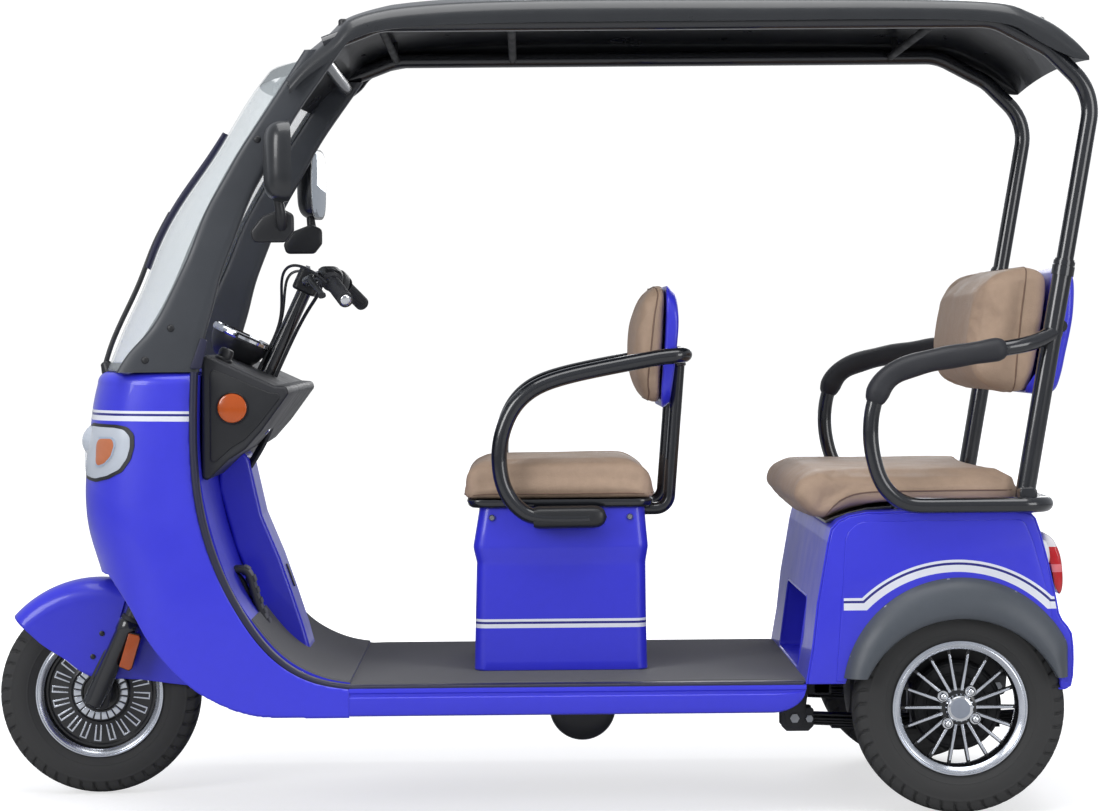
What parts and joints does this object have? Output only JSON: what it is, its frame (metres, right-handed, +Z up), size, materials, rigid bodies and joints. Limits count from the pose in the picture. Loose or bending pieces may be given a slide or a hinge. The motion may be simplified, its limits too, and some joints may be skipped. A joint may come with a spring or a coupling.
{
  "type": "auto rickshaw",
  "caption": "Open-sided electric passenger trike with a steered front wheel, windscreen, roof, driver's seat and rear passenger bench.",
  "frame": {"origin": "on the ground under the middle of the vehicle's box", "axes": "+Z up, -X toward the front, +Y toward the driver's right; the driver's left side is -Y"},
  "size_m": [2.3259, 1.038, 1.7152],
  "materials": {
    "body_paint": "gloss",
    "frame_paint": "gloss",
    "dark_plastic": "satin",
    "grey_plastic": "satin",
    "seat_leather": "satin",
    "soft_black": "matte",
    "floor_rubber": "matte",
    "tyre_rubber": "matte",
    "rim_metal": "satin",
    "running_gear": "satin",
    "bright_steel": "satin",
    "clear_lens": "gloss",
    "screen_glass": "gloss",
    "red_lens": "gloss",
    "amber_lens": "gloss",
    "pod_chrome": "gloss"
  },
  "bodies": {
    "chassis": {"chassis_frame": "frame_paint", "floor_tray": "body_paint", "floor_mat": "floor_rubber", "front_cowl": "body_paint", "cowl_trim": "dark_plastic", "leg_shield": "body_paint", "column_cover": "body_paint", "dash_console": "dark_plastic", "instrument_pod": "pod_chrome", "side_reflectors": "amber_lens", "headlamps": "clear_lens", "windscreen_frame": "dark_plastic", "windscreen_glass": "screen_glass", "windscreen_wiper": "dark_plastic", "roof_panel": "dark_plastic", "roof_frame": "frame_paint", "mirror_stalks": "frame_paint", "mirror_heads": "dark_plastic", "brake_pedal": "frame_paint", "seat_pedestal": "body_paint", "seat_base": "frame_paint", "seat_cushion": "seat_leather", "seat_frame": "frame_paint", "backrest_shell": "body_paint", "backrest_cushion": "seat_leather", "rear_body": "body_paint", "storage_tub": "body_paint", "wheel_flares": "grey_plastic", "rear_seat_base": "frame_paint", "rear_seat_cushion": "seat_leather", "rear_seat_frame": "frame_paint", "arm_pads": "soft_black", "rear_back_cushion": "seat_leather", "rear_back_shell": "body_paint", "tail_lamps": "red_lens", "rear_axle": "running_gear", "leaf_springs": "running_gear", "underfloor_drum": "running_gear"},
    "steering": {"fork": "frame_paint", "front_axle": "bright_steel", "fork_reflectors": "amber_lens", "handlebar": "frame_paint", "handlebar_grips": "soft_black", "brake_levers": "dark_plastic", "front_mudguard": "body_paint"},
    "front_wheel": {"front_wheel_tyre": "tyre_rubber", "front_wheel_rim": "rim_metal"},
    "rear_wheel_left": {"rear_wheel_left_tyre": "tyre_rubber", "rear_wheel_left_rim": "rim_metal"},
    "rear_wheel_right": {"rear_wheel_right_tyre": "tyre_rubber", "rear_wheel_right_rim": "rim_metal"}
  },
  "joints": [
    {"name": "steering", "type": "hinge", "parent": "chassis", "child": "steering", "pos_m": [-0.90784, 0, 0.20067], "axis": [0.4226, 0, 0.9063], "range_deg": [-38, 38]},
    {"name": "front_wheel_spin", "type": "hinge", "parent": "steering", "child": "front_wheel", "pos_m": [-0.945, 0, 0.218], "axis": [0, 1, 0], "continuous": true},
    {"name": "rear_wheel_left_spin", "type": "hinge", "parent": "chassis", "child": "rear_wheel_left", "pos_m": [0.873, -0.382, 0.218], "axis": [0, 1, 0], "continuous": true},
    {"name": "rear_wheel_right_spin", "type": "hinge", "parent": "chassis", "child": "rear_wheel_right", "pos_m": [0.873, 0.382, 0.218], "axis": [0, 1, 0], "continuous": true}
  ]
}
